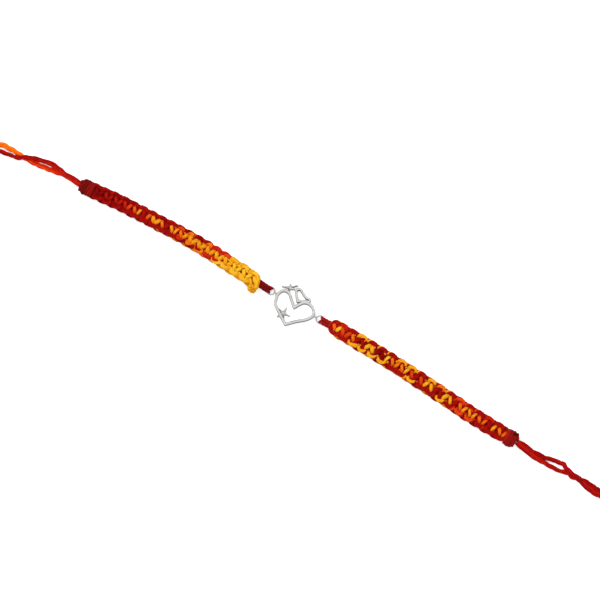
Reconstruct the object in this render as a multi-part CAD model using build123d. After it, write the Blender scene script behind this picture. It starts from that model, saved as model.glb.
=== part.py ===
from build123d import *
import math
import os

# A rakhi thread bracelet, open and untied, as it lies on a table. Millimetres.
# A silver openwork charm sits in the middle, and a band of square knots runs out from each side.
# The origin is on the charm's flat back, under the cleft of its large heart.
# X runs along the bracelet, Y towards the tops of the heart's lobes, and Z up from the table.

# Silver charm
charm_thick = 1.2
bar_wide = 0.82
small_bar_wide = 0.70
edge_round = 0.17
heart_half_wide = 6.30
lobe_high = 3.50
cleft_up = 0.15
left_cleft_lean = 49.0
right_cleft_lean = 22.0
point_low = 5.65
point_aside = 0.40
small_heart_wide = 4.85
small_heart_high = 3.55
small_heart_point_x = -0.05
small_heart_point_y = 2.30
small_heart_lean = -44.0
star_reach = 2.30
star_waist = 0.58
star_tip_wide = 0.26
star_ridge_rise = 0.42
star_rim_drop = 0.30
top_star_x = -4.16
top_star_y = 4.86
side_star_x = -1.95
side_star_y = -3.00
ring_hole = 2.0
ring_wire = 0.42
ring_up = 1.05
lug_long = 0.53
lug_wide = 0.62
weld = 0.12

# Core threads
strand_thick = 0.42
core_strands = 4
strand_sink = 0.06
fold_gap = 0.06
fold_in_ring = 0.0
leg_bend = 1.2

# Knotted bands
cord_wide = 1.5
cord_thick = 1.1
loop_thick = 1.4
band_wide = 5.2
half_knots = 36
knot_lean = 0.56
side_tuck = 0.52
tuck_start = 0.30
tuck_end = 0.78
left_band_long = 57.4
right_band_long = 61.8
band_bow = 2.0
band_setback = 3.05
stations_per_half_knot = 4
section_corners = 12
cord_samples = 64
slope_step = 0.01

# End wraps, tuft and stub
wrap_long = 4.0
wrap_turns = 2
wrap_cord_swell = 0.34
wrap_corners = 16
stations_per_turn = 6
tuft_run = 1.3
tuft_root_thick = 0.9
tuft_out = 0.36
tuft_thread_long = 0.95
tuft_thread_thick = 0.60
stub_long = 0.9
stub_thick = 0.95

# Tails and clearances
tail_thick = 2.4
tail_arc_share = 0.45
slant_gap = 0.22
piece_gap = 0.05

# The large heart's two halves from the cleft to the point. The columns are the place across as a share of
# heart_half_wide, and the height as a share of lobe_high above the origin and of point_low below it.
left_heart_rows = (
    (0.52, 0.86),
    (0.87, 0.87),
    (1.00, 0.29),
    (0.92, -0.19),
    (0.78, -0.39),
)
right_heart_rows = (
    (0.19, 0.69),
    (0.56, 0.99),
    (0.90, 0.64),
    (0.93, 0.04),
    (0.67, -0.33),
)

# The small heart, clockwise from its point. The columns are the place across as a share of small_heart_wide
# and the height as a share of small_heart_high.
small_heart_rows = (
    (-0.392, 0.648),
    (-0.144, 0.986),
    (0.309, 0.662),
    (0.474, 0.680),
    (0.546, 0.440),
)

# Rays of the two stars. The columns are the angle from X and the length as a share of star_reach.
top_star_rays = (
    (14, 0.64),
    (50, 1.10),
    (114, 0.56),
    (199, 1.14),
    (265, 0.52),
)
side_star_rays = (
    (9, 1.02),
    (88, 0.92),
    (165, 0.94),
    (241, 0.94),
    (306, 0.96),
)

# Frayed ends of the tuft: the direction from X in degrees and the rise beside a run of 1.
tuft_threads = (
    (198, 0.10),
    (228, -0.20),
    (256, 0.25),
    (284, -0.15),
    (318, 0.15),
)

# How each band's middle strays from the height of its ring at equal steps from its inner end to the outer end
# of its wrap, as a share of band_bow, and the width there as a share of band_wide.
left_band_rows = (
    (0.00, 1.02),
    (0.29, 1.00),
    (0.44, 0.96),
    (0.18, 0.92),
    (-0.14, 0.89),
    (-0.74, 0.88),
)
right_band_rows = (
    (0.00, 1.00),
    (-0.07, 1.02),
    (-0.29, 1.00),
    (-0.67, 1.01),
    (-1.03, 1.00),
    (-1.08, 0.96),
)

# Routes of the tails past their wraps: X, Y and Z of each turning point.
left_tail_route = (
    (-81.0, 0.10, 1.25),
    (-88.2, -0.60, 1.20),
    (-95.4, -2.35, 1.20),
    (-102.8, -3.30, 1.20),
    (-108.8, -4.70, 1.20),
    (-114.2, -5.00, 1.20),
)
right_tail_route = (
    (84.8, -1.70, 1.25),
    (91.6, -1.00, 1.20),
    (98.8, -0.80, 1.20),
    (105.8, -1.75, 1.20),
    (112.4, -1.60, 1.20),
    (118.6, -2.60, 1.20),
)

ring_radius = (ring_hole + ring_wire) / 2
ring_out = heart_half_wide + bar_wide / 2 + lug_long + ring_hole / 2 + ring_wire
strand_pitch = strand_thick - strand_sink
fold_radius = ring_wire / 2 + fold_gap + strand_thick / 2
ring_mid_up = strand_thick + fold_gap + ring_wire / 2 + piece_gap
cord_radius = cord_thick / 2
core_half_thick = strand_thick
half_knot_long = (left_band_long + right_band_long) / 2 / half_knots
cord_rise = core_half_thick + cord_radius
loop_radius = loop_thick / 2
cord_swing = band_wide / 2 - loop_radius
band_mid_up = cord_rise + cord_radius
band_start = ring_out + ring_radius + band_setback


def tangent_arcs(start, lean, points):
    """Arcs through the points, each carrying on in the direction of the last; lean is the first one's from Y."""
    heading = (math.sin(math.radians(lean)), math.cos(math.radians(lean)))
    edges = []
    for point in points:
        edges.append(TangentArc(start, point, tangent=heading))
        heading = edges[-1] % 1
        start = point
    return edges


def outline_bar(edges, wide):
    """A flat silver bar that follows a closed line, with its upper edges rounded by wear."""
    field = make_face(edges)
    outer = offset(field, amount=wide / 2, kind=Kind.ARC)
    inner = offset(field, amount=-wide / 2, kind=Kind.ARC)
    bar = extrude(outer - inner, amount=charm_thick)
    return fillet(bar.edges().group_by(Axis.Z)[-1], min(edge_round, wide / 3))


def large_heart():
    cleft = (0, cleft_up)
    edges = []
    for side, lean, rows in ((1, right_cleft_lean, right_heart_rows), (-1, left_cleft_lean, left_heart_rows)):
        points = [
            (side * across * heart_half_wide, up * (lobe_high if up > 0 else point_low))
            for across, up in rows
        ]
        edges += tangent_arcs(cleft, side * lean, points + [(point_aside, -point_low)])
    return outline_bar(edges, bar_wide)


def small_heart():
    point = (small_heart_point_x, small_heart_point_y)
    points = [
        (point[0] + across * small_heart_wide, point[1] + up * small_heart_high)
        for across, up in small_heart_rows
    ]
    return outline_bar(tangent_arcs(point, small_heart_lean, points + [point]), small_bar_wide)


def polygon(*corners):
    return Face(Wire.make_polygon(corners))


def star(middle_x, middle_y, rays):
    """A five-ray star with a ridge down each ray, as cast in a bevelled mould."""
    rim_up = charm_thick - star_rim_drop
    peak = (middle_x, middle_y, charm_thick + star_ridge_rise - star_rim_drop)
    rim = []
    for number, (angle, share) in enumerate(rays):
        next_angle = rays[(number + 1) % len(rays)][0] + (360 if number == len(rays) - 1 else 0)
        ray = Vector(1, 0, 0).rotate(Axis.Z, angle)
        aside = Vector(0, 1, 0).rotate(Axis.Z, angle) * (star_tip_wide / 2)
        waist = Vector(1, 0, 0).rotate(Axis.Z, (angle + next_angle) / 2) * star_waist
        reach = ray * (share * star_reach)
        rim += [reach - aside, reach + aside, waist]
    low = [(middle_x + spot.X, middle_y + spot.Y, 0) for spot in rim]
    high = [(x, y, rim_up) for x, y, _ in low]
    faces = [polygon(*low)]
    for number in range(len(rim)):
        after = (number + 1) % len(rim)
        faces.append(polygon(low[number], low[after], high[after], high[number]))
        faces.append(polygon(high[number], high[after], peak))
    return Solid(Shell(faces))


def side_ring(side):
    """A round wire ring and the lug of solder that holds it to the heart."""
    middle = (side * ring_out, ring_up, ring_mid_up)
    ring = Pos(*middle) * Torus(ring_radius, ring_wire / 2)
    lug_start = heart_half_wide
    lug_end = ring_out - ring_hole / 2 - ring_wire / 2
    lug = Pos(side * lug_start, ring_up, ring_mid_up) * Rot(0, side * 90, 0) * Cone(
        lug_wide / 2,
        ring_wire / 2 + weld / 2,
        lug_end - lug_start,
        align=(Align.CENTER, Align.CENTER, Align.MIN),
    )
    return ring + lug


def silver_charm():
    charm = large_heart() + small_heart()
    charm += star(top_star_x, top_star_y, top_star_rays)
    charm += star(side_star_x, side_star_y, side_star_rays)
    return charm + side_ring(1) + side_ring(-1)


def row_value(rows, share, column):
    """Smooth value between a table's evenly spaced rows."""
    place = min(max(share, 0), 1) * (len(rows) - 1)
    start = min(int(place), len(rows) - 2)
    part = place - start
    values = [rows[min(max(start + step, 0), len(rows) - 1)][column] for step in (-1, 0, 1, 2)]
    before, first, last, after = values
    return first + 0.5 * part * (
        last - before
        + part * (2 * before - 5 * first + 4 * last - after + part * (3 * (first - last) + after - before))
    )


def band_rows(side):
    return right_band_rows if side > 0 else left_band_rows


def band_long(side):
    return right_band_long if side > 0 else left_band_long


def band_plane(side, run):
    """The cross plane of a band, run mm out from its inner end, and its width share there."""
    rows = band_rows(side)
    whole = band_long(side) + piece_gap + wrap_long
    step = slope_step
    here = ring_up + row_value(rows, run / whole, 0) * band_bow
    ahead = row_value(rows, run / whole + step, 0) * band_bow
    back = row_value(rows, run / whole - step, 0) * band_bow
    span = (min(run / whole + step, 1) - max(run / whole - step, 0)) * whole
    outward = Vector(side, (ahead - back) / span, 0).normalized()
    across = Vector(-outward.Y, outward.X, 0)
    middle = Vector(side * (band_start + run), here, band_mid_up)
    return Plane(middle, x_dir=across, z_dir=outward), row_value(rows, run / whole, 1)


def skin(rings):
    """A closed solid over a row of cross sections, each a ring of as many corners."""
    faces = [polygon(*rings[0]), polygon(*rings[-1])]
    corners = len(rings[0])
    for near, far in zip(rings, rings[1:]):
        for corner in range(corners):
            after = (corner + 1) % corners
            faces.append(polygon(near[corner], near[after], far[corner]))
            faces.append(polygon(near[after], far[after], far[corner]))
    return Solid(Shell(faces))


def ease(share):
    share = min(max(share, 0), 1)
    return share * share * (3 - 2 * share)


def knot_cord(turn):
    """Middle and radius of the cord that crosses in front: along, across, up, for one turn of 2 pi to a full
    knot. It lies over the core in the middle and is tucked under the other cord's fuller loop at each side."""
    over = 1 - ease((abs(math.cos(turn)) - tuck_start) / (tuck_end - tuck_start))
    along = half_knot_long * (turn / math.pi + knot_lean * math.sin(2 * turn))
    radius = loop_radius + (cord_radius - loop_radius) * over
    return along, -cord_swing * math.cos(turn), (cord_rise + side_tuck) * over - side_tuck, radius


def knot_reach(station, direction):
    """How far the two cords of the knots stand out from the core at one station, in one direction."""
    along = station * half_knot_long / stations_per_half_knot
    reach = core_half_thick
    for sample in range(-cord_samples, 2 * cord_samples):
        turn = 2 * math.pi * sample / cord_samples
        cord_along, across, up, radius = knot_cord(turn)
        for flip in (1, -1):
            level = flip * (across * direction[0] + up * direction[1])
            aside = flip * (across * direction[1] - up * direction[0])
            beside = (cord_along - along) * cord_thick / cord_wide
            room = radius ** 2 - beside ** 2 - aside ** 2
            if room > 0:
                reach = max(reach, level + math.sqrt(room))
    return reach


def knot_sections():
    """Corners of the cross sections of one full knot, across and up."""
    sections = []
    for station in range(2 * stations_per_half_knot):
        ring = []
        for corner in range(section_corners):
            angle = 2 * math.pi * corner / section_corners
            spot = Vector(math.cos(angle) * band_wide / 2, math.sin(angle) * band_mid_up).normalized()
            reach = knot_reach(station, (spot.X, spot.Y))
            ring.append((spot.X * reach, spot.Y * reach))
        sections.append(ring)
    return sections


def band(side, sections):
    """Square knots tied over the core, as many on each side, as one closed skin."""
    stations = half_knots * stations_per_half_knot
    rings = []
    for station in range(stations + 1):
        plane, wide = band_plane(side, band_long(side) * station / stations)
        section = sections[station % len(sections)]
        rings.append([plane.from_local_coords((across * wide, up)) for across, up in section])
    return skin(rings)


def end_wrap(side):
    """Plum thread wound in thick turns round the end of a band, closing in round the tail."""
    steps = stations_per_turn * wrap_turns
    rings = []
    for step in range(steps + 1):
        share = step / steps
        plane, wide = band_plane(side, band_long(side) + piece_gap + wrap_long * share)
        swell = wrap_cord_swell * (abs(math.sin(math.pi * wrap_turns * share)) - 1)
        ring = []
        for corner in range(wrap_corners):
            angle = 2 * math.pi * corner / wrap_corners
            across = math.cos(angle) * (band_wide / 2 * wide + swell)
            up = math.sin(angle) * (band_mid_up + swell)
            ring.append(plane.from_local_coords((across, up)))
        rings.append(ring)
    return skin(rings)


def core_loop(side):
    """Core threads side by side, through the ring, folded back round its wire and up into the band."""
    fold_x = side * (ring_out + fold_in_ring + strand_thick / 2)
    legs_x = fold_x + side * fold_radius
    bend_x = side * (ring_out + ring_radius + ring_wire)
    end_x = side * (band_start - slant_gap)
    low = ring_mid_up - fold_radius
    high = ring_mid_up + fold_radius
    half = (strand_thick + piece_gap) / 2
    lower = FilletPolyline(
        (end_x, ring_up, band_mid_up - half),
        (bend_x, ring_up, low),
        (legs_x, ring_up, low),
        radius=leg_bend,
    )
    fold = ThreePointArc((legs_x, ring_up, low), (fold_x, ring_up, ring_mid_up), (legs_x, ring_up, high))
    upper = FilletPolyline(
        (legs_x, ring_up, high),
        (bend_x, ring_up, high),
        (end_x, ring_up, band_mid_up + half),
        radius=leg_bend,
    )
    path = Wire(lower.edges() + fold.edges() + upper.edges())
    start = Plane(path @ 0, x_dir=(0, 1, 0), z_dir=path % 0)
    strands = [
        Pos((number - (core_strands - 1) / 2) * strand_pitch, 0) * Circle(strand_thick / 2)
        for number in range(core_strands)
    ]
    bundle = strands[0].fuse(*strands[1:])
    return sweep(start * bundle, path=path)


def thread_end(place, heading, long, thick):
    """A short cut end of thread that thins a little to its tip."""
    along = Plane(place, z_dir=heading)
    return along * Cone(thick / 2, thick / 3, long, align=(Align.CENTER, Align.CENTER, Align.MIN))


def left_knot_tuft():
    """The cut yarn ends that stand out of the left band's lower side, near its inner end."""
    plane, wide = band_plane(-1, tuft_run)
    out = band_wide / 2 * wide + tuft_out
    middle = plane.from_local_coords((out, 0, 0)) - Vector(0, 0, band_mid_up - tuft_root_thick)
    tuft = Pos(middle) * Sphere(tuft_root_thick / 2)
    for turn, rise in tuft_threads:
        heading = Vector(math.cos(math.radians(turn)), math.sin(math.radians(turn)), rise)
        tuft += thread_end(middle, heading, tuft_thread_long, tuft_thread_thick)
    return tuft


def right_cord_stub():
    """The cut end of the wrapping thread, which stands out of the right wrap's outer face."""
    plane = band_plane(1, band_long(1) + piece_gap + wrap_long)[0]
    aside = (tail_thick + stub_thick) / 2 + piece_gap
    foot = plane.from_local_coords((aside, 0, piece_gap))
    return thread_end(foot, plane.z_dir, stub_long, stub_thick)


def tail_radii(points):
    """Arc radii at the turning points, as large as their two runs leave room for."""
    radii = []
    for before, here, after in zip(points, points[1:], points[2:]):
        turn = (here - before).get_angle(after - here)
        run = min((here - before).length, (after - here).length)
        radii.append(tail_arc_share * run / math.tan(math.radians(turn) / 2))
    return radii


def tail(side):
    """A tail's whole bundle of loose threads, from its wrap out along the table."""
    plane = band_plane(side, band_long(side) + piece_gap + wrap_long + slant_gap)[0]
    route = right_tail_route if side > 0 else left_tail_route
    points = [plane.origin] + [Vector(*spot) for spot in route]
    radii = tail_radii(points)
    print("tail", side, "radii", [round(radius, 1) for radius in radii])
    path = FilletPolyline(*points, radius=radii)
    start = Plane(path @ 0, z_dir=path % 0)
    tube = sweep(start * Circle(tail_thick / 2), path=path)
    print("tail", side, "length", round(path.length, 2), "volume share",
          round(tube.volume / (path.length * math.pi * tail_thick ** 2 / 4), 4))
    return tube


def build():
    os.makedirs("parts", exist_ok=True)
    sections = knot_sections()
    pieces = {
        "silver_charm": silver_charm(),
        "left_core_loop": core_loop(-1),
        "right_core_loop": core_loop(1),
        "left_band": band(-1, sections),
        "right_band": band(1, sections),
        "left_end_wrap": end_wrap(-1),
        "right_end_wrap": end_wrap(1),
        "left_knot_tuft": left_knot_tuft(),
        "right_cord_stub": right_cord_stub(),
        "left_tail": tail(-1),
        "right_tail": tail(1),
    }
    for name, piece in pieces.items():
        export_step(piece, f"parts/{name}.step")


build()
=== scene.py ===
import math
import random

import bmesh
import bpy
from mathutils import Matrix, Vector


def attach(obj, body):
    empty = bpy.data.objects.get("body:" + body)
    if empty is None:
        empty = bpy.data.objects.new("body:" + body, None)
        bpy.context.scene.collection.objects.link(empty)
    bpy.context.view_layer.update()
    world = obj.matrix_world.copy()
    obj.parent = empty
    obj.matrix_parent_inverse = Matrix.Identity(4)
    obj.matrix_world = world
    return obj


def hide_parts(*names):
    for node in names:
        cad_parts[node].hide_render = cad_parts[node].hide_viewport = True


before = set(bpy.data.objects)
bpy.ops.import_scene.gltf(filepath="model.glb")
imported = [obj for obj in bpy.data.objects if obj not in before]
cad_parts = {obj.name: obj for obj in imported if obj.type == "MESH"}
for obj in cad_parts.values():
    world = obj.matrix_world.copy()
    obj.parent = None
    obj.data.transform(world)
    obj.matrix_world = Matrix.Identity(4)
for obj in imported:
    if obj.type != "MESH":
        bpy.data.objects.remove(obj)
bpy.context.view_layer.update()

# Table, light and camera
# The bracelet lies open on plain white card under a soft overhead light, with a darker room round it that
# the silver mirrors. The camera looks down on it from 75 degrees, from far away through a long lens, and the
# colours are shown plainly, as a product photograph shows them.
card_reach = 3.0
card_drop = 0.0001
card_glow = 0.60
camera_azimuth = 31.2
camera_elevation = 75.0
camera_far = 2.0
camera_target = Vector((0.00037, 0.00302, 0.0012))
frame_wide = 0.180
sensor_wide = 36.0
camera_sees = 20.0


def linear(shade):
    """An sRGB hex colour as the linear values that a shader takes."""
    values = []
    for start in (1, 3, 5):
        value = int(shade[start:start + 2], 16) / 255
        values.append(value / 12.92 if value <= 0.04045 else ((value + 0.055) / 1.055) ** 2.4)
    return (*values, 1.0)


def add_node(tree, kind, inputs=(), **settings):
    """Adds a node with its settings; an input takes either a value or another node's output."""
    node = tree.nodes.new(kind)
    for name, value in settings.items():
        setattr(node, name, value)
    for name, value in dict(inputs).items():
        if isinstance(value, bpy.types.NodeSocket):
            tree.links.new(value, node.inputs[name])
        else:
            node.inputs[name].default_value = value
    return node


def new_material(name):
    """An empty material with its node tree and its output."""
    material = bpy.data.materials.new(name)
    material.use_nodes = True
    material.node_tree.nodes.clear()
    return material, material.node_tree, add_node(material.node_tree, "ShaderNodeOutputMaterial")


def new_object(name, mesh):
    """An object in the scene's own collection, at the origin."""
    obj = bpy.data.objects.new(name, mesh)
    bpy.context.scene.collection.objects.link(obj)
    return obj


# Matt card, uncoated, lit from behind as well: it takes the light evenly, keeps its shadows faint and has no
# gloss.
card, card_tree, card_out = new_material("matt_white_card")
paper = add_node(card_tree, "ShaderNodeBsdfDiffuse", {"Color": linear("#E0E0E0")})
back_light = add_node(card_tree, "ShaderNodeEmission", {
    "Color": (1, 1, 1, 1), "Strength": card_glow,
})
seen = add_node(card_tree, "ShaderNodeLightPath")
glowing = add_node(card_tree, "ShaderNodeAddShader", {0: paper.outputs[0], 1: back_light.outputs[0]})
card_face = add_node(card_tree, "ShaderNodeMixShader", {
    0: seen.outputs["Is Camera Ray"], 1: paper.outputs[0], 2: glowing.outputs[0],
})
card_tree.links.new(card_face.outputs[0], card_out.inputs["Surface"])
corners = [(x, y, -card_drop) for x, y in ((-1, -1), (1, -1), (1, 1), (-1, 1))]
sheet_mesh = bpy.data.meshes.new("table_card")
wide_corners = [(x * card_reach, y * card_reach, z) for x, y, z in corners]
sheet_mesh.from_pydata(wide_corners, [], [(0, 1, 2, 3)])
sheet_mesh.materials.append(card)
table_card = new_object("table_card", sheet_mesh)

world = bpy.data.worlds.new("room")
bpy.context.scene.world = world
world.use_nodes = True
world.node_tree.nodes.clear()
direction = add_node(world.node_tree, "ShaderNodeTexCoord")
height = add_node(world.node_tree, "ShaderNodeSeparateXYZ", {"Vector": direction.outputs["Generated"]})
room = add_node(world.node_tree, "ShaderNodeValToRGB", {"Fac": height.outputs["Z"]})
room.color_ramp.elements[0].position = 0.0
room.color_ramp.elements[0].color = (0.45, 0.45, 0.46, 1)
room.color_ramp.elements[1].position = 1.0
room.color_ramp.elements[1].color = (0.88, 0.88, 0.88, 1)
dim_wall = room.color_ramp.elements.new(0.45)
dim_wall.color = (0.22, 0.22, 0.23, 1)
glow = add_node(world.node_tree, "ShaderNodeBackground", {"Color": room.outputs["Color"], "Strength": 1.0})
add_node(world.node_tree, "ShaderNodeOutputWorld", {"Surface": glow.outputs["Background"]})

# Soft boxes: where each stands, how wide it is and its power in watts.
soft_boxes = (
    ("main_soft_box", (-0.78, 0.20, 1.10), 0.90, 15.0),
    ("side_soft_box", (0.95, -0.45, 0.85), 0.70, 5.0),
)
for box_name, stand, wide, power in soft_boxes:
    lamp = bpy.data.lights.new(box_name, "AREA")
    lamp.shape = "DISK"
    lamp.size = wide
    lamp.energy = power
    box = new_object(box_name, lamp)
    box.location = stand
    box.rotation_euler = (-Vector(stand)).to_track_quat("-Z", "Y").to_euler()
    box.visible_glossy = False

lens = bpy.data.cameras.new("long_lens")
lens.sensor_width = sensor_wide
lens.lens = sensor_wide * camera_far / frame_wide
lens.clip_end = camera_sees
camera = new_object("camera", lens)
azimuth = math.radians(camera_azimuth)
elevation = math.radians(camera_elevation)
to_camera = Vector((
    math.cos(elevation) * math.sin(azimuth),
    -math.cos(elevation) * math.cos(azimuth),
    math.sin(elevation),
))
camera.location = camera_target + to_camera * camera_far
camera.rotation_euler = to_camera.to_track_quat("Z", "Y").to_euler()
bpy.context.scene.camera = camera
bpy.context.scene.view_settings.view_transform = "Standard"


# Silver charm
# Two open hearts, two five-ray stars and a ring at each side, cast in 925 silver, soldered together and then
# tumbled and polished. The mould's edges are left soft, the upper faces carry fine rub marks from wear, and
# the upright walls, which the polishing wheel doesn't reach, stay duller, and painted shade makes them
# greyer.
cast_edge_turn = 32.0
cast_weld = 0.000002
rub_mark_mm = 0.35
rub_depth = 0.10
skin_patches = 450.0
wear_depth = 0.12


def merged_copy(node, name, weld):
    """A copy of a CAD node's mesh with its loose triangles joined."""
    mesh = bpy.data.objects[node].data.copy()
    mesh.name = name
    mesh.materials.clear()
    solid = bmesh.new()
    solid.from_mesh(mesh)
    bmesh.ops.remove_doubles(solid, verts=solid.verts, dist=weld)
    solid.to_mesh(mesh)
    solid.free()
    return new_object(name, mesh)


# Polished cast silver: a pale grey mirror on top, softened by faint rub marks, and duller down its walls,
# where painted shade also makes its colour darker.
silver, tree, out = new_material("polished_cast_silver")
place = add_node(tree, "ShaderNodeTexCoord").outputs["Object"]
rubbed = add_node(tree, "ShaderNodeTexNoise", {
    "Vector": place, "Scale": 1000 / rub_mark_mm, "Detail": 4.0,
})
uneven = add_node(tree, "ShaderNodeTexNoise", {"Vector": place, "Scale": skin_patches, "Detail": 2.0})
facing = add_node(tree, "ShaderNodeSeparateXYZ", {
    "Vector": add_node(tree, "ShaderNodeNewGeometry").outputs["True Normal"],
})
# Painted shade: how far a face points up sets its colour, pale on top and grey on the walls, and also its
# roughness.
polish_and_shade = add_node(tree, "ShaderNodeMapRange", {
    "Value": facing.outputs["Z"], "From Min": 0.15, "From Max": 0.8, "To Min": 0.0, "To Max": 1.0,
})
wear = add_node(tree, "ShaderNodeMath", {
    0: uneven.outputs["Fac"], 1: wear_depth, 2: -wear_depth / 2,
}, operation="MULTIPLY_ADD")
worn_and_shaded = add_node(tree, "ShaderNodeMath", {
    0: polish_and_shade.outputs["Result"], 1: wear.outputs[0],
}, operation="ADD", use_clamp=True)
# Painted shade: the grey end of this ramp goes on the walls and the pale end on the upper faces, shifted by
# random patches.
shade_and_patch_tone = add_node(tree, "ShaderNodeValToRGB", {"Fac": worn_and_shaded.outputs[0]})
shade_and_patch_tone.color_ramp.elements[0].position = 0.0
shade_and_patch_tone.color_ramp.elements[0].color = linear("#A3A2A0")
shade_and_patch_tone.color_ramp.elements[1].position = 0.9
shade_and_patch_tone.color_ramp.elements[1].color = linear("#EDECEA")
dull = add_node(tree, "ShaderNodeMapRange", {
    "Value": worn_and_shaded.outputs[0], "From Min": 0.0, "From Max": 1.0, "To Min": 0.42, "To Max": 0.20,
})
gloss = add_node(tree, "ShaderNodeMath", {
    0: rubbed.outputs["Fac"], 1: rub_depth, 2: dull.outputs["Result"],
}, operation="MULTIPLY_ADD")
cast_skin = add_node(tree, "ShaderNodeBump", {
    "Height": uneven.outputs["Fac"], "Strength": 0.12, "Distance": 0.00003,
})
rub_skin = add_node(tree, "ShaderNodeBump", {
    "Height": rubbed.outputs["Fac"],
    "Normal": cast_skin.outputs["Normal"],
    "Strength": 0.15,
    "Distance": 0.000006,
})
shader = add_node(tree, "ShaderNodeBsdfPrincipled", {
    "Base Color": shade_and_patch_tone.outputs["Color"],
    "Metallic": 1.0,
    "Roughness": gloss.outputs[0],
    "Normal": rub_skin.outputs["Normal"],
})
tree.links.new(shader.outputs["BSDF"], out.inputs["Surface"])

charm = merged_copy("silver_charm", "polished_charm", cast_weld)
charm.data.materials.append(silver)
charm.data.shade_smooth()
charm.data.set_sharp_from_angle(angle=math.radians(cast_edge_turn))
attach(charm, "root")
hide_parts("silver_charm")


# Core threads
# Four maroon cotton threads, each of two plies, that carry the charm. They go through the ring, are folded
# back round its wire in two pairs, and both ends run into the band, where the knots are tied over them.
ring_out = 8.66
ring_up = 1.05
ring_mid_up = 0.74
fold_reach = 0.21
fold_radius = 0.48
ring_far = 1.63
band_start = 12.92
band_mid_up = 1.52
core_count = 4
core_thread_thick = 0.66
core_thread_pitch = 0.54
fold_thread_pitch = 0.45
pair_gap = 0.30
# How much further each of the four folds reaches than fold_reach, from the lower one to the upper one.
fold_slips = {-1: (-0.12, 0.02, 0.00, -0.34), 1: (-0.20, -0.04, 0.06, -0.26)}
# Where the legs of a fold bend: inside the band's end, before it, past the ring and past the fold, and how
# far they spread up and down.
leg_end = 1.0
leg_level = 0.2
leg_past_ring = 0.4
leg_past_fold = 0.25
leg_spread = 0.42
lower_leg_lift = 0.25
upper_leg_lift = 0.18
fold_shoulder = 0.16
fold_shoulder_drop = 0.07
leg_steps = 6
core_plies = 2
core_ply_spread = 0.26
core_ply_share = 0.64
core_turns = 8
core_turns_step = 0.3
# How bright the dye is on each side's lowest core thread.
core_dye = {-1: 0.10, 1: 0.55}
core_dye_step = 0.10
thread_sides = 8
weld_gap = 0.0000015


def thread_tree():
    """Nodes that sweep a round thread along each guide line, as thick as the guide says at its points."""
    tree = bpy.data.node_groups.new("thread_along_guides", "GeometryNodeTree")
    sockets = (("Guides", "Geometry"), ("Sides", "Int"), ("Weld", "Float"), ("Cotton", "Material"))
    for name, kind in sockets:
        tree.interface.new_socket(name, in_out="INPUT", socket_type="NodeSocket" + kind)
    tree.interface.new_socket("Threads", in_out="OUTPUT", socket_type="NodeSocketGeometry")
    given = add_node(tree, "NodeGroupInput").outputs
    thick = add_node(tree, "GeometryNodeInputNamedAttribute", {"Name": "thick"}, data_type="FLOAT")
    lines = add_node(tree, "GeometryNodeMeshToCurve", {"Mesh": given["Guides"]})
    run = add_node(tree, "GeometryNodeSplineParameter")
    along = add_node(tree, "GeometryNodeCaptureAttribute", {"Geometry": lines.outputs["Curve"]})
    along.capture_items.new("FLOAT", "Run")
    tree.links.new(run.outputs["Length"], along.inputs["Run"])
    corners = add_node(tree, "ShaderNodeMath", {0: given["Sides"], 1: 1.0}, operation="ADD")
    ring = add_node(tree, "GeometryNodeCurveArc", {
        "Resolution": corners.outputs[0], "Radius": 0.5, "Sweep Angle": 2 * math.pi,
    })
    turn = add_node(tree, "GeometryNodeSplineParameter")
    around = add_node(tree, "GeometryNodeCaptureAttribute", {"Geometry": ring.outputs["Curve"]})
    around.capture_items.new("FLOAT", "Turn")
    tree.links.new(turn.outputs["Factor"], around.inputs["Turn"])
    swept = add_node(tree, "GeometryNodeCurveToMesh", {
        "Curve": along.outputs["Geometry"],
        "Profile Curve": around.outputs["Geometry"],
        "Scale": thick.outputs[0],
    })
    run_mm = add_node(tree, "ShaderNodeMath", {
        0: along.outputs["Run"], 1: 1000.0,
    }, operation="MULTIPLY")
    cloth_place = add_node(tree, "ShaderNodeCombineXYZ", {
        "X": run_mm.outputs[0], "Y": around.outputs["Turn"],
    })
    laid_out = add_node(tree, "GeometryNodeStoreNamedAttribute", {
        "Geometry": swept.outputs["Mesh"],
        "Name": "UVMap",
    }, data_type="FLOAT2", domain="CORNER")
    tree.links.new(cloth_place.outputs[0], laid_out.inputs["Value"])
    closed = add_node(tree, "GeometryNodeMergeByDistance", {
        "Geometry": laid_out.outputs["Geometry"], "Distance": given["Weld"],
    })
    smooth = add_node(tree, "GeometryNodeSetShadeSmooth", {"Geometry": closed.outputs["Geometry"]})
    real = add_node(tree, "GeometryNodeRealizeInstances", {"Geometry": smooth.outputs["Geometry"]})
    dressed = add_node(tree, "GeometryNodeSetMaterial", {
        "Geometry": real.outputs["Geometry"], "Material": given["Cotton"],
    })
    add_node(tree, "NodeGroupOutput", {"Threads": dressed.outputs["Geometry"]})
    return tree


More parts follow.
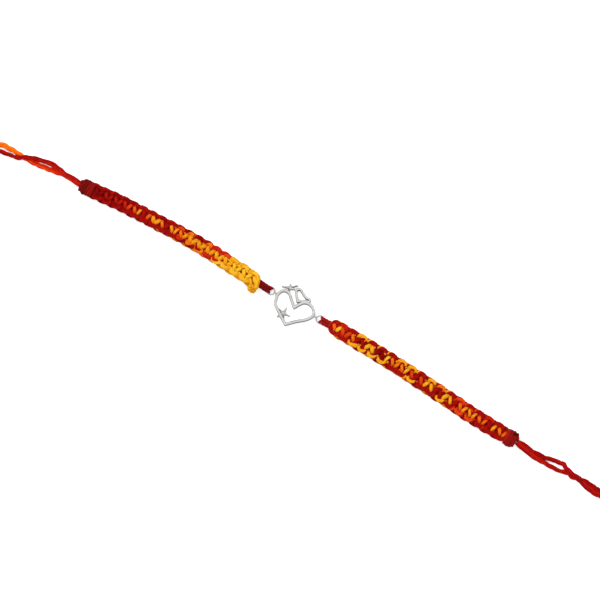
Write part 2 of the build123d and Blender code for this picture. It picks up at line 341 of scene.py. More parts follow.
def spin(name, threads, cotton, slot, *nodes):
    """Makes one piece of threads; a thread is a row of points of place in mm, thickness in mm and dye."""
    guide = bpy.data.meshes.new(name + "_guides")
    spots = [spot for thread in threads for spot in thread]
    edges = []
    start = 0
    for thread in threads:
        edges += [(spot, spot + 1) for spot in range(start, start + len(thread) - 1)]
        start += len(thread)
    guide.from_pydata([place * 0.001 for place, thick, dye in spots], edges, [])
    thicknesses = [thick * 0.001 for place, thick, dye in spots]
    shades = [dye for place, thick, dye in spots]
    for kept, values in (("thick", thicknesses), ("dye", shades)):
        guide.attributes.new(kept, "FLOAT", "POINT").data.foreach_set("value", values)
    carrier = new_object(name + "_guides", guide)
    nodes_on = carrier.modifiers.new("threads", "NODES")
    nodes_on.node_group = thread_nodes
    for socket in thread_nodes.interface.items_tree:
        if socket.in_out == "INPUT" and socket.name != "Guides":
            value = {"Sides": thread_sides, "Weld": weld_gap, "Cotton": cotton}[socket.name]
            nodes_on[socket.identifier] = value
    graph = bpy.context.evaluated_depsgraph_get()
    mesh = bpy.data.meshes.new_from_object(
        carrier.evaluated_get(graph), preserve_all_data_layers=True, depsgraph=graph
    )
    mesh.name = name
    bpy.data.objects.remove(carrier)
    piece = new_object(name, mesh)
    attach(piece, "root")
    if nodes:
        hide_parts(*nodes)
    return piece


def on_curve(before, first, last, after, part):
    """A place on the smooth curve from first to last, where part runs from 0 to 1."""
    return first + 0.5 * part * (
        last - before
        + part * (2 * before - 5 * first + 4 * last - after)
        + part * part * (3 * (first - last) + after - before)
    )


def smooth_line(spots, steps):
    """Points along a smooth line through the given spots, with a number of steps from each to the next."""
    spots = [Vector(spot) for spot in spots]
    line = []
    for number in range(len(spots) - 1):
        before = spots[max(number - 1, 0)]
        after = spots[min(number + 2, len(spots) - 1)]
        for step in range(steps):
            line.append(on_curve(before, spots[number], spots[number + 1], after, step / steps))
    return line + [spots[-1]]


def line_sides(line, beside):
    """Two directions square to the line at each point, the first as near as can be to the one given."""
    sides = []
    for number, spot in enumerate(line):
        ahead = line[min(number + 1, len(line) - 1)] - line[max(number - 1, 0)]
        heading = ahead.normalized()
        wanted = beside[number] if isinstance(beside, list) else beside
        across = (wanted - heading * wanted.dot(heading)).normalized()
        sides.append((across, heading.cross(across)))
    return sides


# A ply strays round its cord by this many radians and swells and thins, both at its own pace from point to
# point. One point from its end it is thinner by this share.
ply_stray = 0.25
ply_paces = (0.5, 0.9)
stray_phase = 6
swell_phase = 9
swell_pace = 0.7
ply_tip_share = 0.72


def ply_up(line, beside, count, wide, high, thick, turns, dye, uneven=0.0, seed=0):
    """Plies laid round a line, on an oval this wide and high, with the twist given in whole turns."""
    chance = random.Random(seed)
    sides = line_sides(line, beside)
    last = len(line) - 1
    threads = []
    for ply in range(count):
        slip = chance.uniform(-1, 1)
        pace = chance.uniform(*ply_paces)
        thread = []
        for number, spot in enumerate(line):
            turn = turns[number] if isinstance(turns, list) else turns * number / last
            stray = ply_stray * math.sin(pace * number + stray_phase * slip)
            angle = 2 * math.pi * (ply / count + turn) + stray
            across, up = sides[number]
            swell = 1 + uneven * math.sin(pace * number * swell_pace + swell_phase * slip)
            size = wide[number] if isinstance(wide, list) else wide
            rise = high[number] if isinstance(high, list) else high
            place = spot + across * (math.cos(angle) * size / 2) + up * (math.sin(angle) * rise / 2)
            if number in (0, last):
                swell = 0
            elif number in (1, last - 1):
                swell *= ply_tip_share
            shade = dye(ply, number) if callable(dye) else dye
            thread.append((place, thick * swell, shade))
        threads.append(thread)
    return threads


# Dyed cotton, softly twisted: matt, with a low sheen on the fibres that stand out. The colour along each
# thread follows its own record of the dye, uneven in patches of about a millimetre, and the twist shows as
# fine slanting hollows that run round it, darkened with painted shade.
dye_patches = 900.0
dye_patch_depth = 0.20
fibre_draw = (2.2, 9.0, 1.0)


def dyed_cotton(name, shades, twist_mm, hollow_shade=0.80):
    """A cotton with its shades of dye, the length of one turn of its twist, and how dark the painted shade in
    its hollows is.
    """
    material, tree, out = new_material(name)
    dye = add_node(tree, "ShaderNodeAttribute", attribute_name="dye")
    laid = add_node(tree, "ShaderNodeUVMap", uv_map="UVMap")
    place = add_node(tree, "ShaderNodeTexCoord").outputs["Object"]
    blotch = add_node(tree, "ShaderNodeTexNoise", {"Vector": place, "Scale": dye_patches, "Detail": 3.0})
    shift = add_node(tree, "ShaderNodeMath", {
        0: blotch.outputs["Fac"], 1: dye_patch_depth, 2: -dye_patch_depth / 2,
    }, operation="MULTIPLY_ADD")
    taken = add_node(tree, "ShaderNodeMath", {
        0: dye.outputs["Fac"], 1: shift.outputs[0],
    }, operation="ADD", use_clamp=True)
    ramp = add_node(tree, "ShaderNodeValToRGB", {"Fac": taken.outputs[0]})
    stops = ramp.color_ramp.elements
    while len(stops) > 1:
        stops.remove(stops[-1])
    for number, (position, shade) in enumerate(shades):
        stop = stops[0] if number == 0 else stops.new(position)
        stop.position = position
        stop.color = linear(shade)
    split = add_node(tree, "ShaderNodeSeparateXYZ", {"Vector": laid.outputs["UV"]})
    slant = add_node(tree, "ShaderNodeMath", {
        0: split.outputs["X"], 1: 1 / twist_mm, 2: split.outputs["Y"],
    }, operation="MULTIPLY_ADD")
    turns = add_node(tree, "ShaderNodeMath", {
        0: slant.outputs[0], 1: 4 * math.pi,
    }, operation="MULTIPLY")
    twist = add_node(tree, "ShaderNodeMath", {0: turns.outputs[0]}, operation="SINE")
    drawn = add_node(tree, "ShaderNodeVectorMath", {
        0: laid.outputs["UV"], 1: fibre_draw,
    }, operation="MULTIPLY")
    fibre = add_node(tree, "ShaderNodeTexNoise", {
        "Vector": drawn.outputs[0], "Scale": 2.0, "Detail": 4.0,
    })
    # Painted shade: the dye's colour is darkened down to hollow_shade along the twist's hollows.
    lit = add_node(tree, "ShaderNodeMapRange", {
        "Value": twist.outputs[0],
        "From Min": -1.0,
        "From Max": 0.1,
        "To Min": hollow_shade,
        "To Max": 1.0,
    })
    shaded = add_node(tree, "ShaderNodeVectorMath", {
        0: ramp.outputs["Color"], "Scale": lit.outputs["Result"],
    }, operation="SCALE")
    plied = add_node(tree, "ShaderNodeBump", {
        "Height": twist.outputs[0], "Strength": 0.4, "Distance": 0.00003,
    })
    fuzzy = add_node(tree, "ShaderNodeBump", {
        "Height": fibre.outputs["Fac"],
        "Normal": plied.outputs["Normal"],
        "Strength": 0.5,
        "Distance": 0.00003,
    })
    shader = add_node(tree, "ShaderNodeBsdfPrincipled", {
        "Base Color": shaded.outputs[0],
        "Roughness": 0.85,
        "Specular IOR Level": 0.04,
        "Sheen Weight": 0.08,
        "Sheen Roughness": 0.4,
        "Sheen Tint": linear("#E0502A"),
        "Normal": fuzzy.outputs["Normal"],
    })
    tree.links.new(shader.outputs["BSDF"], out.inputs["Surface"])
    return material


thread_nodes = thread_tree()
# Core cotton, dyed maroon in one bath that some threads took up more of: a dark, even ground for the knots.
maroon_cotton = dyed_cotton("maroon_core_cotton", (
    (0.0, "#6E0E12"), (0.5, "#8C1412"), (1.0, "#AE2418"),
), 0.9)


def core_threads(side):
    """The four core threads of one side, each from the band to the ring, round its wire and back."""
    threads = []
    for number in range(core_count):
        place = number - (core_count - 1) / 2
        band_y = ring_up + place * core_thread_pitch
        ring_y = ring_up + place * fold_thread_pitch + math.copysign(pair_gap / 2, place)
        mid_y = (band_y + ring_y) / 2
        reach = ring_out + fold_reach + fold_slips[side][number]
        legs = reach + fold_radius
        low, high = ring_mid_up - fold_radius, ring_mid_up + fold_radius
        spots = [
            (band_start + leg_end, band_y, band_mid_up - leg_spread),
            (band_start - leg_level, band_y, band_mid_up - leg_spread),
            (ring_out + ring_far + leg_past_ring, mid_y, low + lower_leg_lift),
            (legs + leg_past_fold, ring_y, low),
            (legs - fold_shoulder, ring_y, low + fold_shoulder_drop),
            (reach, ring_y, ring_mid_up),
            (legs - fold_shoulder, ring_y, high - fold_shoulder_drop),
            (legs + leg_past_fold, ring_y, high),
            (ring_out + ring_far + leg_past_ring, mid_y, high + upper_leg_lift),
            (band_start - leg_level, band_y, band_mid_up + leg_spread),
            (band_start + leg_end, band_y, band_mid_up + leg_spread),
        ]
        line = smooth_line([(side * x, y, z) for x, y, z in spots], leg_steps)
        threads += ply_up(
            line, Vector((0, 1, 0)), core_plies, core_ply_spread, core_ply_spread,
            core_thread_thick * core_ply_share, core_turns + core_turns_step * number,
            core_dye[side] + core_dye_step * number, uneven=0.06, seed=number,
        )
    return threads


for side_name, side in (("left", -1), ("right", 1)):
    spin(f"{side_name}_core_threads", core_threads(side), maroon_cotton, "maroon_thread",
         f"{side_name}_core_loop")


# Knotted bands
# Square knots of two thick cords, each six soft plies of space-dyed cotton, tied over the core threads. The
# front cord makes the slanting bars down the middle, and each cord loops round the other at the sides.
band_wide = 5.2
cord_swing = 1.84
cord_rise = 0.97
side_tuck = 0.50
tuck_start = 0.16
tuck_end = 0.56
knot_lean = 0.49
cord_twist = 0.14
band_bow = 2.0
piece_gap = 0.05
wrap_long = 4.0
slope_step = 0.01
shortest_span = 0.1
# Each band's length, the even spacing of its half knots, the length that its first knots add, and its last
# half knot.
bands = {-1: (57.4, 1.585, 1.73, 35.2), 1: (61.8, 1.744, -0.72, 35.75)}
head_knots = 1.6
front_start = 0.12
back_start = 1.12
# Each band's stray from its ring's height, as a share of band_bow, and its width as a share of band_wide.
band_rows = {
    -1: ((0.00, 1.02), (0.29, 1.02), (0.44, 1.00), (0.18, 0.98), (-0.14, 0.96), (-0.74, 0.95)),
    1: ((0.00, 1.01), (-0.07, 1.04), (-0.29, 1.02), (-0.67, 1.03), (-1.03, 1.02), (-1.08, 0.98)),
}
cord_plies = 6
steps_per_half_knot = 16
ply_thick = 0.68
# The plies' spread across and up in the loops, how much less it is on top of the bars, and their spread in
# the back cord's inner end. The first bar is a little fuller.
loop_spread = 0.85
bar_squeeze = 0.37
loop_high = 0.64
bar_flatten = 0.04
end_spread = 0.70
end_high = 0.66
end_steps = 4
first_bar_swell = 0.40
swell_fades_at = 0.6
swell_fades_over = 0.5
oval_high = 1.6
first_ply_turn = 1 / 12
# How unevenly the knots are pulled: along the band in half knots, across as a share, up in mm, and in turns.
slack_along = 0.07
slack_across = 0.045
slack_up = 0.06
slack_turn = 0.03
# The core under the knots.
core_pitch = 0.62
core_up = 0.16
core_stagger = 0.05
core_thick = 0.84
core_shade = 0.6
core_setback = 0.2
core_step = 2
# The back cord's inner end, in mm out from the band's inner end, mm to its upper side and mm up: on the left
# a fold drawn slantwise over the first knot, on the right a loop open to the ring.
inner_ends = {
    -1: ((1.9, -1.2, -0.5), (0.7, -1.85, -0.1), (-0.15, -1.75, 0.35), (0.05, -0.9, 0.78), (0.3, 0.0, 0.9),
         (0.75, 0.9, 0.85), (1.4, 1.55, 0.62), (2.3, 1.8, 0.45)),
    1: ((1.9, 1.2, -0.5), (0.9, 1.75, 0.2), (0.1, 1.4, 0.6), (-0.28, 0.4, 0.8), (-0.24, -0.6, 0.75),
        (0.3, -1.5, 0.6), (1.3, -1.8, 0.5)),
}
# Shades of the dye, from 0 to 1 along one scale.
deep, crimson, brick, scarlet, vermilion = 0.0, 0.16, 0.25, 0.34, 0.50
orange, amber, gold, yellow = 0.66, 0.77, 0.86, 1.0
# Which plies show where: the front cord's two on top of its bars, and the back cord's two on top of its even
# loops and two on top of its odd ones. Its last two lie on the loops' outer edge on the left and inside them
# on the right.
ply_places = {
    (-1, "front"): ("bar", "rest", "rest", "rest", "rest", "bar"),
    (1, "front"): ("bar", "rest", "rest", "rest", "rest", "bar"),
    (-1, "back"): ("edge", "even", "even", "odd", "odd", "edge"),
    (1, "back"): ("even", "even", "inside", "inside", "odd", "odd"),
}
# Dye of those plies: the half knot where a run of it begins, counted from the band's inner end.
dye_runs = {
    (-1, "bar"): (
        (0, yellow), (5, gold), (9, amber), (15.9, orange), (17.1, amber), (19, crimson), (20.3, orange),
        (20.7, crimson), (21.2, amber), (22.8, crimson), (23.35, orange), (23.65, crimson), (25.2, amber),
        (25.8, crimson), (26.35, orange), (26.65, crimson), (27.3, vermilion), (27.7, crimson),
        (28.3, scarlet), (28.7, crimson), (29.35, brick), (29.65, crimson), (30.35, brick), (30.65, crimson),
        (32.35, brick), (32.65, deep),
    ),
    (-1, "rest"): ((0, gold), (14.5, orange), (15.8, crimson), (20.8, gold), (22.8, crimson), (30, deep)),
    (-1, "even"): (
        (0, yellow), (7, scarlet), (11, crimson), (13, orange), (15, scarlet), (17, crimson), (28, deep),
    ),
    (-1, "odd"): (
        (0, yellow), (4, gold), (6, vermilion), (8, scarlet), (10, orange), (12, deep), (14, orange),
        (16, vermilion), (18, crimson), (20, deep), (22, crimson), (27, deep),
    ),
    (-1, "edge"): (
        (0, gold), (6.5, scarlet), (7.5, yellow), (8.6, scarlet), (10.5, crimson), (11.5, orange),
        (12.6, crimson), (14, deep), (16, crimson),
    ),
    (1, "bar"): (
        (0, orange), (1, yellow), (2, vermilion), (4, orange), (5, crimson), (7, gold), (9, deep),
        (11, yellow), (12, orange), (15, gold), (16, vermilion), (17, crimson), (18, vermilion), (19, gold),
        (20, gold), (21, crimson), (23, gold), (25, crimson), (26.3, orange), (26.7, crimson), (27.25, amber),
        (27.75, crimson), (28.25, amber), (28.75, crimson), (29.25, amber), (29.75, crimson), (30.35, orange),
        (30.65, crimson), (31.35, orange), (31.65, crimson), (33.2, amber), (33.8, crimson), (34.3, orange),
        (34.7, crimson), (35.4, orange),
    ),
    (1, "rest"): (
        (0, scarlet), (1, gold), (2, vermilion), (5, crimson), (7, gold), (9, crimson), (19, orange),
        (21, crimson), (23, gold), (24.5, crimson),
    ),
    (1, "even"): (
        (0, scarlet), (3, crimson), (5, gold), (7, crimson), (13.3, gold), (16.7, crimson), (19.5, gold),
        (20.6, crimson), (21.5, orange), (22.5, crimson), (25, vermilion), (27, crimson), (31, scarlet),
        (33, crimson),
    ),
    (1, "odd"): (
        (0, crimson), (4, gold), (12, crimson), (16, gold), (18, crimson), (22, gold), (24, crimson),
        (26, vermilion), (30, crimson),
    ),
    (1, "inside"): ((0, scarlet), (3, crimson), (25, scarlet), (30, crimson)),
}
dye_blend = 0.4


def row_value(rows, share, column):
    """Smooth value between a table's evenly spaced rows."""
    place = min(max(share, 0), 1) * (len(rows) - 1)
    start = min(int(place), len(rows) - 2)
    values = [rows[min(max(start + step, 0), len(rows) - 1)][column] for step in (-1, 0, 1, 2)]
    return on_curve(*values, place - start)


def band_frame(side, run):
    """A band's middle, run mm out, with its outward direction, its upper side's and its width as a share."""
    rows = band_rows[side]
    whole = bands[side][0] + piece_gap + wrap_long
    share = run / whole
    ahead = row_value(rows, share + slope_step, 0) * band_bow
    back = row_value(rows, share - slope_step, 0) * band_bow
    span = max((min(share + slope_step, 1) - max(share - slope_step, 0)) * whole, shortest_span)
    outward = Vector((side, (ahead - back) / span, 0)).normalized()
    upper = Vector((-outward.y * side, outward.x * side, 0))
    middle_up = ring_up + row_value(rows, share, 0) * band_bow
    middle = Vector((side * (band_start + run), middle_up, band_mid_up))
    return middle, outward, upper, row_value(rows, share, 1)


def in_band(side, run, across, up):
    """A place in the band: mm out from its inner end, mm from its middle to its upper side, and mm up."""
    middle, outward, upper, wide = band_frame(side, run)
    return middle + upper * (across * wide) + Vector((0, 0, up))


def ease(share):
    """A share from 0 to 1 that starts and stops gently."""
    share = min(max(share, 0), 1)
    return share * share * (3 - 2 * share)


def knot_run(side, half_knot):
    """Where a half knot lies, in mm out from the band's inner end."""
    pitch, head = bands[side][1:3]
    return pitch * half_knot + head * (1 - math.exp(-max(half_knot, 0) / head_knots))


def knot_cord(half_knot):
    """Middle of the front cord: half knots along, share of the swing, mm up, and how far it is on top."""
    turn = math.pi * half_knot
    over = 1 - ease((abs(math.cos(turn)) - tuck_start) / (tuck_end - tuck_start))
    along = half_knot + knot_lean * math.sin(2 * turn)
    return along, math.cos(turn), (cord_rise + side_tuck) * over - side_tuck, over


def dye_at(runs, half_knot):
    """The dye at one place, blended over a short stretch where one run of it meets the next."""
    shade = runs[0][1]
    for start, next_shade in runs[1:]:
        shade += (next_shade - shade) * ease((half_knot - start) / dye_blend + 0.5)
    return shade


def knot_yarn(side, cord):
    """The plies of one working cord, from the band's inner end to its end inside the wrap."""
    last = bands[side][3]
    flip = -side if cord == "front" else side
    chance = random.Random(f"{side}{cord}")
    slack = [[chance.uniform(-1, 1) for part in range(4)] for knot in range(2 * int(last) + 4)]
    line, beside, wide, high, turns, knots = [], [], [], [], [], []
    first = front_start
    if cord == "back":
        first = back_start
        for spot in smooth_line([in_band(side, *spot) for spot in inner_ends[side]], end_steps)[:-1]:
            line.append(spot)
            beside.append(-band_frame(side, 0)[1])
            knots.append(0.0)
            wide.append(end_spread)
            high.append(end_high)
            turns.append(0.0)
    for step in range(round((last - first) * steps_per_half_knot) + 1):
        half_knot = first + step / steps_per_half_knot
        along, swing, up, over = knot_cord(half_knot)
        place = 2 * half_knot
        knot = int(place)
        part = ease(place - knot)
        wander = [slack[knot][k] * (1 - part) + slack[knot + 1][k] * part for k in range(4)]
        across = flip * cord_swing * swing * (1 + slack_across * wander[1])
        lay = cord_twist * math.sin(2 * math.pi * half_knot)
        if cord == "back":
            up = -up
            lay = -lay
        up += slack_up * wander[2] if over < 0.5 else 0
        run = knot_run(side, along + slack_along * wander[0])
        upper = band_frame(side, run)[2]
        line.append(in_band(side, run, across, up))
        beside.append(upper * (across / cord_swing ** 2) + Vector((0, 0, up / (oval_high * cord_rise) ** 2)))
        knots.append(half_knot)
        wide.append(loop_spread - bar_squeeze * over)
        swell = first_bar_swell * (1 - ease((half_knot - swell_fades_at) / swell_fades_over))
        high.append(loop_high - bar_flatten * over + swell)
        turns.append(first_ply_turn + slack_turn * wander[3] + lay)

    def dye(ply, number):
        return dye_at(dye_runs[(side, ply_places[(side, cord)][ply])], knots[number])

    return ply_up(
        line, beside, cord_plies, wide, high, ply_thick, turns, dye, uneven=0.07, seed=10 + side + flip
    )


def band_core(side):
    """The core threads under the knots, four side by side, seen only through the gaps."""
    threads = []
    for number in range(core_count):
        across = (number - (core_count - 1) / 2) * core_pitch
        up = core_up + core_stagger * (-1) ** number
        runs = [0.0, core_setback, *range(core_step, int(bands[side][0] + wrap_long), core_step)]
        line = [in_band(side, run + core_setback, across, up) for run in runs]
        threads.append([
            (spot, 0.0 if spot in (line[0], line[-1]) else core_thick, core_shade) for spot in line
        ])
    return threads


# Mauli yarn, dyed in long runs from deep red to golden yellow, so that each ply changes colour as it goes and
# the knots show broken flecks. Painted shade darkens the hollows between its loose plies.
band_cotton = dyed_cotton("space_dyed_mauli_cotton", (
    (0.0, "#820808"), (0.16, "#A00E0A"), (0.34, "#C4220E"), (0.50, "#DC4212"), (0.66, "#EA7214"),
    (0.86, "#EEA61C"), (1.0, "#F4BC2C"),
), 0.8, 0.70)

for side_name, side in (("left", -1), ("right", 1)):
    spin(f"{side_name}_band_cords", knot_yarn(side, "front") + knot_yarn(side, "back"), band_cotton,
         "mauli_thread", f"{side_name}_band")
    spin(f"{side_name}_band_core", band_core(side), maroon_cotton, "maroon_thread")


# End wraps
# Dark plum five-ply cotton wound four and a half turns round the outer end of each band, which holds the
# cords' cut ends and gathers the core threads into the tail.
wrap_plies = 5
wrap_ply_thick = 0.62
wrap_spread = 0.80
wrap_high = 0.42
wrap_inset = 0.52
wrap_inset_up = 0.50
wrap_start_turn = 0.3
wrap_samples = 26
wrap_dye_wave = 0.06
wrap_dye_pace = 0.3
# For each side: how far out each half turn lies, and how far it stands out from the middle, as shares.
wrap_rows = {
    -1: ((0.04, 0.98), (0.16, 1.02), (0.26, 1.00), (0.38, 0.97), (0.50, 1.00), (0.62, 1.06), (0.74, 1.04),
         (0.87, 0.94), (0.98, 0.74), (1.06, 0.48)),
    1: ((0.03, 0.98), (0.11, 1.04), (0.20, 1.07), (0.29, 1.10), (0.38, 1.12), (0.47, 1.10), (0.54, 1.04),
        (0.72, 0.92), (0.66, 0.76), (0.84, 0.56)),
}
# Dye of the wrapping thread on each side, at even steps from its inner end to its outer end.
wrap_dye = {
    -1: (0.56, 0.50, 0.46, 0.20, 0.28, 0.42),
    1: (0.82, 0.56, 0.46, 0.40, 0.48, 0.80),
}
# Wrapping cotton, dyed from dark plum to brick red, its shade along each wrap given by wrap_dye.
plum_cotton = dyed_cotton("plum_wrapping_cotton", (
    (0.0, "#4E0A0A"), (0.4, "#7E1010"), (0.7, "#A01A10"), (1.0, "#CE5418"),
), 0.8, 0.88)


def end_wrap(side):
    """The wrapping thread's plies on one side, from the band's outer end to the tail."""
    rows = wrap_rows[side]
    long = bands[side][0] + piece_gap
    shades = [(shade,) for shade in wrap_dye[side]]
    line, beside, turns = [], [], []
    last = (len(rows) - 1) * wrap_samples // 2
    for number in range(last + 1):
        share = number / last
        half_turn = share * (len(rows) - 1)
        run = long + wrap_long * row_value(rows, share, 0)
        stand = row_value(rows, share, 1)
        angle = 2 * math.pi * (half_turn / 2 - wrap_start_turn)
        across = math.cos(angle) * (band_wide / 2 - wrap_inset) * stand
        up = math.sin(angle) * (band_mid_up - wrap_inset_up) * min(stand, 1.0)
        line.append(in_band(side, run, across, up))
        beside.append(band_frame(side, run)[1])
        turns.append(share)

    def dye(ply, number):
        wave = wrap_dye_wave * math.sin(number * wrap_dye_pace + 2 * ply)
        return row_value(shades, number / last, 0) + wave

    return ply_up(
        line, beside, wrap_plies, wrap_spread, wrap_high, wrap_ply_thick, turns, dye,
        uneven=0.10, seed=30 + side,
    )


for side_name, side in (("left", -1), ("right", 1)):
    spin(f"{side_name}_plum_wrap", end_wrap(side), plum_cotton, "plum_thread", f"{side_name}_end_wrap")


# Tuft and stub
# The trimmed ends of a golden cord, pushed out of the left band's lower side and frayed into a small ball,
# and the plum wrapping thread's own end, cut square where it leaves the right wrap.
tuft_middle = Vector((-13.75, -1.55, 1.55))
tuft_ends = 60
tuft_reach = 1.46
tuft_uneven = 0.14
tuft_bend = 0.3
tuft_neck = 0.3
tuft_steps = 4
end_thin = 0.34
end_swell = 0.14
tuft_shade = 0.87
# Painted light: ends that point up are this much lighter and ends that point down darker, as if lit from
# above.
tuft_painted_top_light = 0.08
tuft_shade_stray = 0.06
# The turn from each end to the next, in radians, which spreads them evenly round the ball.
golden_turn = 2.39996
# How far round the ball its ends reach, from its top: 2 is the whole of it.
tuft_fan = 1.7
# The golden cord's way out under the first knot to the tuft's root: mm out from the band's inner end, mm to
# its upper side and mm up.
under_knot = ((3.9, -0.2, 0.10), (3.0, -0.6, 0.25), (2.1, -1.1, 0.25))
under_steps = 3
tuft_root = (1.1, -2.15, -0.1)
under_plies = 4
under_spread = 0.75
under_thick = 0.70
under_turns = 0.3
under_shade = 0.92
# The stub's foot as a share of the wrap, and its line: mm out from its foot, mm to the upper side and mm up.
stub_foot = 0.52
stub_spots = ((-0.5, 1.175, 0.7625), (0.0, 1.45, 0.95), (0.4, 1.67, 1.046), (0.8, 1.89, 1.094),
              (1.1, 2.055, 1.0985))
stub_plies = 6
stub_ply_thick = 0.46
stub_wide = 0.62
stub_high = 0.56
stub_turns = 0.2
stub_shade = 0.02
stub_steps = 5


def frayed_tuft():
    """The golden cord's last stretch under the knot, and its ends fanned out into a ball."""
    root = in_band(-1, *tuft_root)
    chance = random.Random(5)
    hidden = smooth_line([in_band(-1, *spot) for spot in under_knot] + [root], under_steps)
    threads = ply_up(
        hidden, Vector((0, 0, 1)), under_plies, under_spread, under_spread, under_thick, under_turns,
        under_shade,
    )
    for number in range(tuft_ends):
        rise = 1 - tuft_fan * (number + 0.5) / tuft_ends
        level = math.sqrt(1 - rise * rise)
        heading = golden_turn * number
        out = Vector((math.cos(heading) * level, math.sin(heading) * level, rise))
        reach = tuft_reach * chance.uniform(1 - tuft_uneven, 1 + tuft_uneven)
        bend = Vector((
            chance.uniform(-tuft_bend, tuft_bend),
            chance.uniform(-tuft_bend, tuft_bend),
            chance.uniform(-tuft_bend * 2 / 3, tuft_bend / 3),
        ))
        line = smooth_line([
            root,
            tuft_middle + (root - tuft_middle) * tuft_neck,
            tuft_middle + out * 0.5 * reach + bend * 0.5,
            tuft_middle + out * reach + bend * 0.3,
        ], tuft_steps)
        last = len(line) - 1
        # Painted light: the shade is raised on ends that point up.
        shade = tuft_shade + tuft_painted_top_light * rise + chance.uniform(-tuft_shade_stray, tuft_shade_stray)
        thread = []
        for place, spot in enumerate(line):
            swell = end_thin + end_swell * math.sin(math.pi * place / last)
            thread.append((spot, 0 if place in (0, last) else swell, shade))
        threads.append(thread)
    return threads


def cut_stub():
    """The plies of the wrapping thread's cut end on the right wrap's upper outer shoulder."""
    foot = bands[1][0] + piece_gap + wrap_long * stub_foot
    line = smooth_line([in_band(1, foot + out, across, up) for out, across, up in stub_spots], stub_steps)
    return ply_up(
        line, band_frame(1, foot)[2], stub_plies, stub_wide, stub_high, stub_ply_thick, stub_turns,
        stub_shade, seed=41,
    )


spin("left_frayed_tuft", frayed_tuft(), band_cotton, "yellow_thread", "left_knot_tuft")
spin("right_cut_stub", cut_stub(), plum_cotton, "plum_thread", "right_cord_stub")


# Tails
# The core threads' long ends, left loose to tie the bracelet on. Four strands of three plies each lie side by
# side on the table, part and cross, and end in a plain cut.
strand_plies = 3
strand_thick = 0.60
strand_wide = 0.50
strand_twist_mm = 9.0
strand_root = 1.2
strand_tip = 0.6
crossing_run = 17
crossing_long = 4
strand_dye_wave = 0.07
strand_dye_pace = 0.11
# The points that each tail's line follows from its wrap on, in mm.
tails = {
    -1: ((-81.0, 0.10, 1.25), (-88.2, -0.60, 1.20), (-95.4, -2.35, 1.20), (-102.8, -3.30, 1.20),
         (-108.8, -4.70, 1.20), (-114.2, -5.00, 1.20)),
    1: ((84.8, -1.70, 1.25), (91.6, -1.00, 1.20), (98.8, -0.80, 1.20), (105.8, -1.75, 1.20),
        (112.4, -1.60, 1.20), (118.6, -2.60, 1.20)),
}
# How the strands lie: mm out from the wrap, each strand's mm aside from the middle, and its mm above it.
tail_rows = {
    -1: (
        (0.0, (0.40, 0.10, -0.25, -0.45), (-0.2, 0.2, 0.2, -0.2)),
        (3.0, (0.45, 0.10, -0.30, -0.50), (-0.2, 0.2, 0.1, -0.3)),
        (6.5, (0.40, 0.15, -0.20, -0.40), (-0.4, 0.1, 0.0, -0.6)),
        (9.0, (1.00, 0.30, -0.45, -0.90), (-0.6, -0.5, -0.4, -0.6)),
        (11.5, (1.40, 0.75, -0.45, -1.10), (-0.6, -0.6, -0.6, -0.6)),
        (14.0, (1.15, 0.70, -0.50, -1.10), (-0.5, -0.6, -0.6, -0.6)),
        (16.5, (0.95, 0.40, -0.35, -0.90), (-0.2, -0.3, -0.5, -0.6)),
        (19.0, (0.35, 0.00, 0.10, -0.35), (0.3, 0.2, -0.6, -0.6)),
        (21.5, (-0.50, -0.95, 0.75, 0.30), (0.0, -0.4, -0.6, -0.6)),
        (24.0, (-0.95, -0.65, 1.35, 0.70), (-0.6, -0.2, -0.6, -0.6)),
        (27.0, (-1.05, -0.60, 1.65, 0.95), (-0.6, -0.6, -0.6, -0.6)),
        (31.0, (-0.60, -0.90, 0.80, 0.10), (-0.6, -0.6, -0.6, -0.6)),
        (36.0, (0.10, -0.80, 0.70, -0.30), (-0.4, -0.6, -0.6, -0.6)),
        (41.0, (0.60, -0.70, 1.10, -0.10), (-0.6, -0.6, -0.6, -0.6)),
    ),
    1: (
        (0.0, (-0.15, 0.50, 0.20, -0.50), (0.2, -0.1, 0.3, -0.2)),
        (2.0, (0.05, 0.95, -0.05, -0.65), (0.1, -0.1, -0.1, -0.3)),
        (4.5, (0.25, 0.65, -0.30, -0.80), (0.2, -0.3, -0.3, -0.5)),
        (6.6, (0.80, 0.20, -0.40, -1.00), (-0.1, 0.2, -0.3, -0.6)),
        (9.0, (0.90, 0.40, -0.55, -0.95), (-0.5, -0.5, -0.6, -0.6)),
        (12.0, (1.40, 0.95, -0.75, -1.15), (-0.6, -0.6, -0.6, -0.6)),
        (15.0, (1.70, 1.20, -0.80, -1.15), (-0.5, -0.4, -0.6, -0.6)),
        (16.7, (0.75, 0.25, -0.20, -0.65), (0.0, 0.2, -0.6, -0.6)),
        (19.0, (0.15, -0.95, 0.40, -0.10), (0.2, -0.5, -0.6, -0.6)),
        (20.5, (-0.15, -0.50, 0.40, 0.05), (0.1, -0.6, -0.6, -0.5)),
        (24.0, (-0.90, -0.35, 0.35, 0.90), (-0.3, -0.1, -0.6, -0.6)),
        (27.5, (-1.00, -0.40, 0.40, 0.95), (-0.6, -0.4, -0.6, -0.6)),
        (31.0, (-0.60, 0.10, 0.70, 0.30), (-0.6, 0.0, -0.5, -0.6)),
        (36.0, (-0.30, 0.70, 0.20, -0.70), (-0.6, -0.6, -0.6, -0.6)),
        (41.0, (0.20, 0.90, -0.50, -1.00), (-0.6, -0.6, -0.6, -0.6)),
    ),
}
# How much shorter each strand is than the longest.
strand_short = (0.0, 0.9, 0.1, 0.6)
# Dye of each strand before the crossing and past it.
tail_dye = {
    -1: ((0.14, 0.10), (0.22, 0.14), (0.32, 0.84), (0.46, 0.74)),
    1: ((0.19, 0.13), (0.13, 0.22), (0.27, 0.15), (0.17, 0.11)),
}
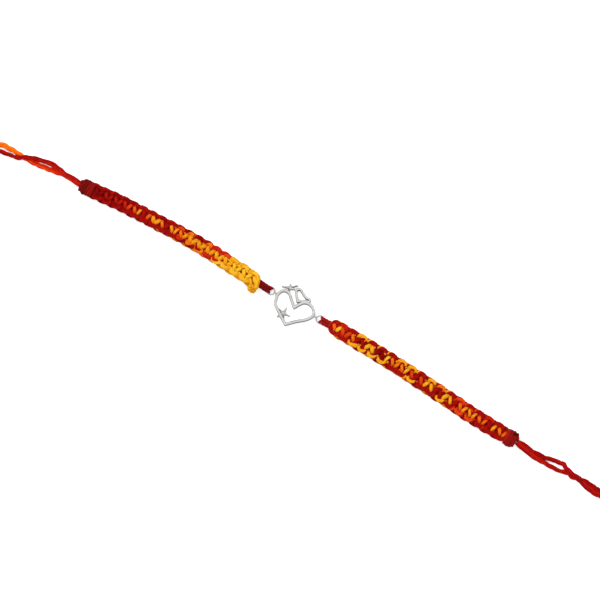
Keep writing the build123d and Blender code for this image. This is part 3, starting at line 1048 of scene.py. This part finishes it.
# Tail cotton, dyed crimson near the wraps and bright orange further out, brighter than the core it continues.
tail_cotton = dyed_cotton("crimson_tail_cotton", (
    (0.0, "#82090B"), (0.16, "#A20D0D"), (0.34, "#C41E0C"), (0.50, "#DC3C0C"), (0.66, "#F0600C"),
    (0.86, "#FA7410"), (1.0, "#FF8C14"),
), 0.9)


def tail_line(side):
    """Points along the tail's smooth middle line, which starts at its wrap and follows its chosen points."""
    start = band_frame(side, bands[side][0] + piece_gap + wrap_long)[0]
    route = [start] + [Vector(spot) for spot in tails[side]]
    curve = bpy.data.curves.new("tail_line", "CURVE")
    curve.dimensions = "3D"
    curve.resolution_u = 16
    spline = curve.splines.new("NURBS")
    spline.points.add(len(route) - 1)
    for point, spot in zip(spline.points, route):
        point.co = (*(spot * 0.001), 1.0)
    spline.order_u = 3
    spline.use_endpoint_u = True
    carrier = new_object("tail_line", curve)
    graph = bpy.context.evaluated_depsgraph_get()
    mesh = bpy.data.meshes.new_from_object(carrier.evaluated_get(graph), depsgraph=graph)
    line = [vertex.co.copy() for vertex in mesh.vertices]
    bpy.data.objects.remove(carrier)
    bpy.data.meshes.remove(mesh)
    return line


def row_at(rows, run, column, strand):
    """A strand's place in the chart at one distance from the wrap, eased between the chart's rows."""
    for before, after in zip(rows, rows[1:]):
        if run <= after[0]:
            part = ease((run - before[0]) / (after[0] - before[0]))
            return before[column][strand] * (1 - part) + after[column][strand] * part
    return rows[-1][column][strand]


def tail_strands(side, line):
    """The plies of a tail's four strands, from inside the wrap to their cut ends."""
    spots = [spot * 1000 for spot in line]
    spots = [spots[0] - (spots[1] - spots[0]).normalized() * strand_root] + spots
    spots.append(spots[-1] + (spots[-1] - spots[-2]).normalized() * strand_tip)
    runs = [-strand_root, 0.0]
    for before, here in zip(spots[1:], spots[2:]):
        runs.append(runs[-1] + (here - before).length)
    sides = line_sides(spots, Vector((0, 1, 0)))
    threads = []
    for strand, short in enumerate(strand_short):
        stop = runs[-1] - short
        kept = [number for number, run in enumerate(runs) if run <= stop]
        path = []
        for number in kept:
            aside = row_at(tail_rows[side], runs[number], 1, strand)
            above = row_at(tail_rows[side], runs[number], 2, strand)
            path.append(spots[number] + sides[number][0] * aside + Vector((0, 0, above)))
        near, far = tail_dye[side][strand]

        def dye(ply, number):
            shade = near + (far - near) * ease((runs[number] - crossing_run) / crossing_long)
            return shade + strand_dye_wave * math.sin(strand_dye_pace * number + 2 * ply + strand)

        threads += ply_up(path, Vector((0, 1, 0)), strand_plies, strand_wide, strand_wide, strand_thick,
                          runs[-1] / strand_twist_mm, dye, uneven=0.09, seed=50 + 7 * strand + side)
    return threads


for side_name, side in (("left", -1), ("right", 1)):
    middle_line = tail_line(side)
    piece = spin(f"{side_name}_tail_strands", tail_strands(side, middle_line), tail_cotton, "tail_thread",
                 f"{side_name}_tail")
